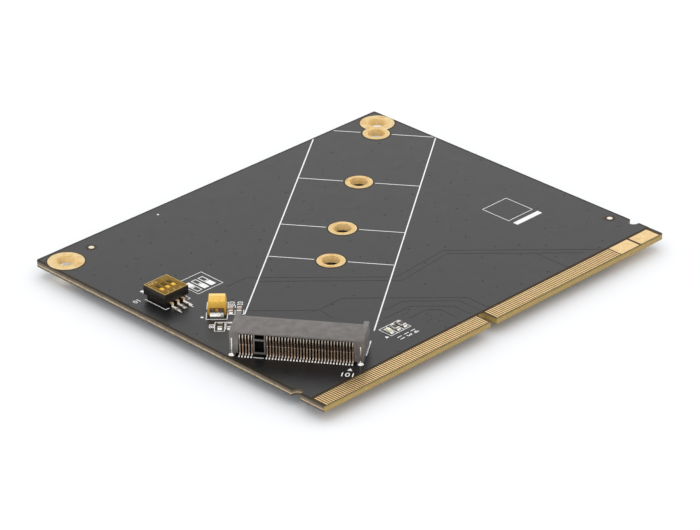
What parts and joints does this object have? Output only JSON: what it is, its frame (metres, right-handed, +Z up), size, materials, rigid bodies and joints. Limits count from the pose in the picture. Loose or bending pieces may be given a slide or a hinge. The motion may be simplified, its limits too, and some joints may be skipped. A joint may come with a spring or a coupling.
{
  "type": "storage module adapter card",
  "caption": "Bare printed board with an edge contact row, a slanted module socket, plated standoff holes and a small slide switch.",
  "frame": {"origin": "middle of the board's underside", "axes": "+X along the edge contact row, +Y from the contact edge to the rear edge, +Z up out of the component side"},
  "size_m": [0.082, 0.07, 0.0054],
  "materials": {
    "board_laminate": "matte solder mask over glass laminate",
    "gold_plate": "satin gold flash",
    "housing_plastic": "fine moulded",
    "contact_bronze": "satin",
    "tinned_metal": "satin tin",
    "solder": "bright solder",
    "switch_plastic": "moulded",
    "amber_film": "clear amber film",
    "lever_plastic": "moulded",
    "capacitor_resin": "moulded resin",
    "tan_ceramic": "fired ceramic",
    "white_ceramic": "fired ceramic",
    "resistor_glaze": "glazed",
    "led_resin": "cast resin"
  },
  "bodies": {
    "card": {"circuit_board": "board_laminate", "edge_contacts_top": "gold_plate", "edge_contacts_bottom": "gold_plate", "power_pads": "gold_plate", "corner_plating": "gold_plate", "joined_plating": "gold_plate", "standoff_plating_30": "gold_plate", "standoff_plating_42": "gold_plate", "standoff_plating_60": "gold_plate", "fiducials": "gold_plate", "socket_housing": "housing_plastic", "socket_upper_contacts": "contact_bronze", "socket_lower_contacts": "contact_bronze", "socket_weld_tabs": "tinned_metal", "socket_solder": "solder", "weld_tab_solder": "solder", "switch_base": "switch_plastic", "switch_cover": "switch_plastic", "switch_film": "amber_film", "switch_front_terminals": "tinned_metal", "switch_rear_terminals": "tinned_metal", "switch_solder": "solder", "capacitor_body": "capacitor_resin", "capacitor_terminals": "tinned_metal", "capacitor_solder": "solder", "chip_capacitor_bodies": "tan_ceramic", "chip_capacitor_caps": "tinned_metal", "chip_resistor_bodies": "white_ceramic", "chip_resistor_caps": "tinned_metal", "chip_resistor_coats": "resistor_glaze", "chip_solder": "solder", "led_base": "white_ceramic", "led_caps": "tinned_metal", "led_lens": "led_resin", "led_solder": "solder"},
    "lever_1": {"switch_lever_1": "lever_plastic", "lever_clip_1": "contact_bronze"},
    "lever_2": {"switch_lever_2": "lever_plastic", "lever_clip_2": "contact_bronze"},
    "lever_3": {"switch_lever_3": "lever_plastic", "lever_clip_3": "contact_bronze"}
  },
  "joints": [
    {"name": "lever_1_slide", "type": "slide", "parent": "card", "child": "lever_1", "axis": [0, 1, 0], "range_m": [0, 0.001]},
    {"name": "lever_2_slide", "type": "slide", "parent": "card", "child": "lever_2", "axis": [0, 1, 0], "range_m": [0, 0.001]},
    {"name": "lever_3_slide", "type": "slide", "parent": "card", "child": "lever_3", "axis": [0, 1, 0], "range_m": [0, 0.001]}
  ]
}
